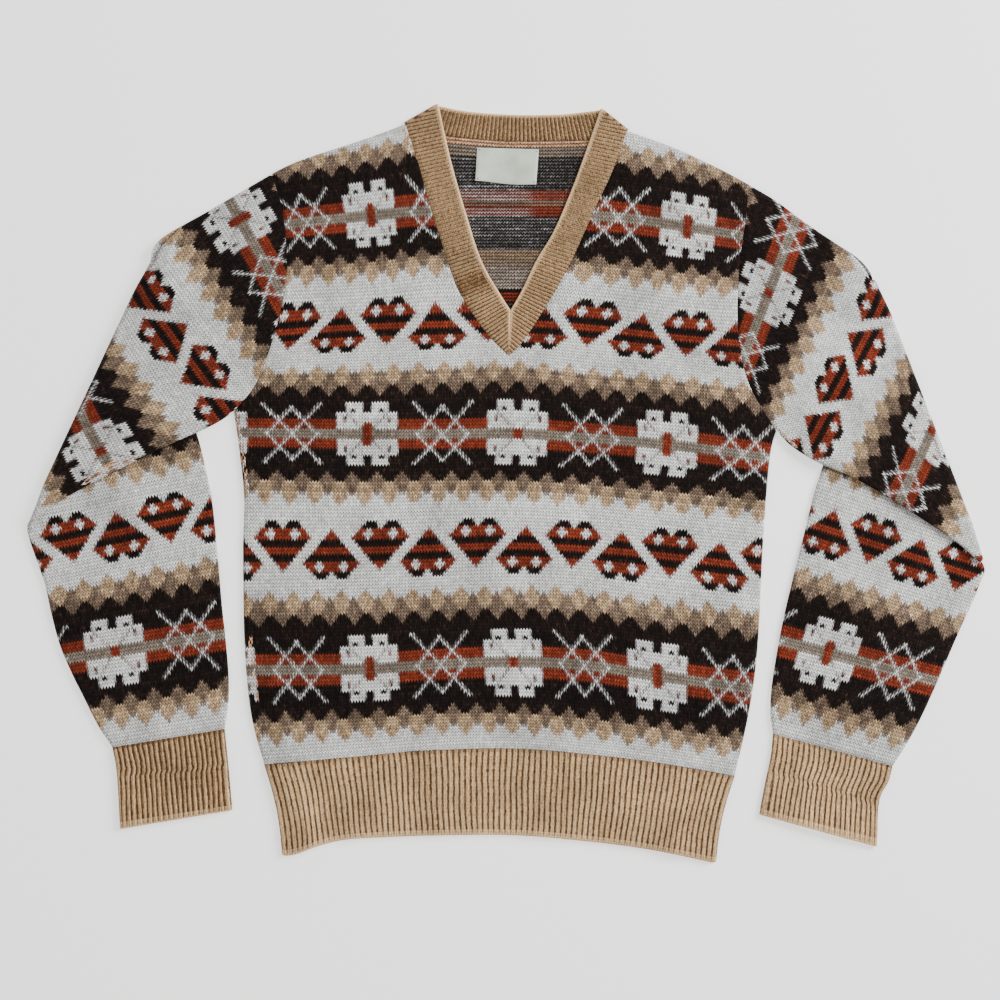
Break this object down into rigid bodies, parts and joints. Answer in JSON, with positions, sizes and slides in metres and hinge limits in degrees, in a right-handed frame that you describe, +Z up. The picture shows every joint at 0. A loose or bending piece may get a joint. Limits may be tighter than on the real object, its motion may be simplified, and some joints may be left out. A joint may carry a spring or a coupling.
{
  "type": "fair isle jumper",
  "caption": "V-neck fair isle jumper laid flat, front up, both sleeves folded down at the elbow; ribbed neckband, cuffs and hem.",
  "frame": {"origin": "middle of the laid-out jumper's plan, on the surface that it lies on", "axes": "+Z up from the surface, out of the jumper's front; +Y from the hem towards the neck; +X to the right as seen from above, towards the wearer's left sleeve"},
  "size_m": [0.862, 0.6816, 0.0133],
  "materials": {
    "fair_isle_knit": "stranded stocking stitch in off-white, black-brown, rust, tan and stone yarns",
    "rib_knit": "1x1 rib in a marled tan yarn",
    "label_satin": "woven satin label, blank"
  },
  "bodies": {
    "root": {"back": "fair_isle_knit", "front": "fair_isle_knit", "sleeve_left": "fair_isle_knit", "sleeve_right": "fair_isle_knit", "hem_rib_back": "rib_knit", "hem_rib_front": "rib_knit", "cuff_left": "rib_knit", "cuff_right": "rib_knit", "neckband": "rib_knit", "label": "label_satin"}
  },
  "joints": []
}
